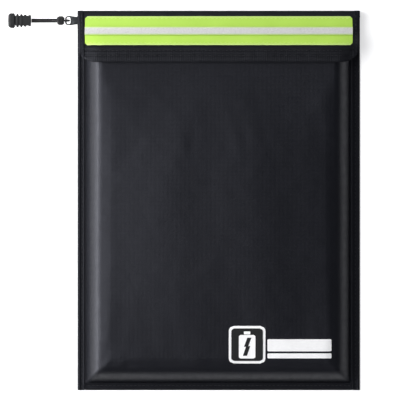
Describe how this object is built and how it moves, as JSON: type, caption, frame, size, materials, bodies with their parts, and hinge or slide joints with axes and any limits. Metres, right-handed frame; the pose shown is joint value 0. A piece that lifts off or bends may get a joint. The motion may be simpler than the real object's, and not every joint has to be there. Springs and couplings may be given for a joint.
{
  "type": "battery safe bag",
  "caption": "Flat padded fire-resistant pouch for model batteries, with a zipped mouth under a fold-over reflective flap and a cord zip pull with a ribbed grip.",
  "frame": {"origin": "on the back face, at the middle of the pouch", "axes": "+Z out of the front face, which is up as the pouch lies on its back, +Y along its height towards the flap, +X to the right as one faces the front"},
  "size_m": [0.3524, 0.38, 0.0286],
  "materials": {
    "coated_cloth": "satin",
    "binding_tape": "matte",
    "felt": "matte",
    "foil_lining": "satin",
    "hivis_tape": "satin",
    "reflective_film": "satin",
    "zip_tape": "matte",
    "nylon_coil": "satin",
    "gunmetal": "satin",
    "braided_cord": "matte",
    "grip_rubber": "matte",
    "hook_and_loop": "matte"
  },
  "bodies": {
    "pouch": {"back_panel": "coated_cloth", "back_batting": "felt", "back_lining": "foil_lining", "front_panel": "coated_cloth", "front_batting": "felt", "front_lining": "foil_lining", "front_throat": "coated_cloth", "loop_tape": "hook_and_loop", "side_binding_left": "binding_tape", "side_binding_right": "binding_tape", "bottom_binding": "binding_tape", "top_edge_panel": "coated_cloth", "zip_tape_upper": "zip_tape", "zip_coil_upper": "nylon_coil", "zip_tape_lower_left": "zip_tape", "zip_coil_lower_left": "nylon_coil", "zip_tape_lower_right": "zip_tape", "zip_coil_lower_right": "nylon_coil", "zip_stop_left": "gunmetal", "zip_stop_right": "gunmetal"},
    "mouth_lip": {"zip_tape_lower": "zip_tape", "zip_coil_lower": "nylon_coil"},
    "flap": {"flap_panel": "coated_cloth", "flap_lining": "coated_cloth", "hivis_tape": "hivis_tape", "reflective_stripe": "reflective_film", "flap_hem_left": "binding_tape", "flap_hem_right": "binding_tape", "hook_tape": "hook_and_loop"},
    "zip_slider": {"slider_body": "gunmetal", "slider_bail": "gunmetal"},
    "zip_tab": {"pull_tab": "gunmetal"},
    "zip_cord": {"pull_cord": "braided_cord", "cord_knot": "braided_cord", "pull_grip": "grip_rubber"}
  },
  "joints": [
    {"name": "flap_fold", "type": "hinge", "parent": "pouch", "child": "flap", "pos_m": [0, 0.1901, 0.014], "axis": [-1, 0, 0], "range_deg": [0, 172]},
    {"name": "zip_run", "type": "slide", "parent": "pouch", "child": "zip_slider", "axis": [1, 0, 0], "range_m": [0, 0.25]},
    {"name": "tab_lift", "type": "hinge", "parent": "zip_slider", "child": "zip_tab", "pos_m": [-0.1263, 0.18, 0.0075], "axis": [0, 1, 0], "range_deg": [0, 15]},
    {"name": "cord_swing", "type": "hinge", "parent": "zip_tab", "child": "zip_cord", "pos_m": [-0.1498, 0.18, 0.0075], "axis": [0, 0, -1], "range_deg": [-80, 0]},
    {"name": "mouth_gape", "type": "slide", "parent": "pouch", "child": "mouth_lip", "axis": [0, -1, 0], "range_m": [0, 0.015], "deforming": ["front_throat"]}
  ]
}
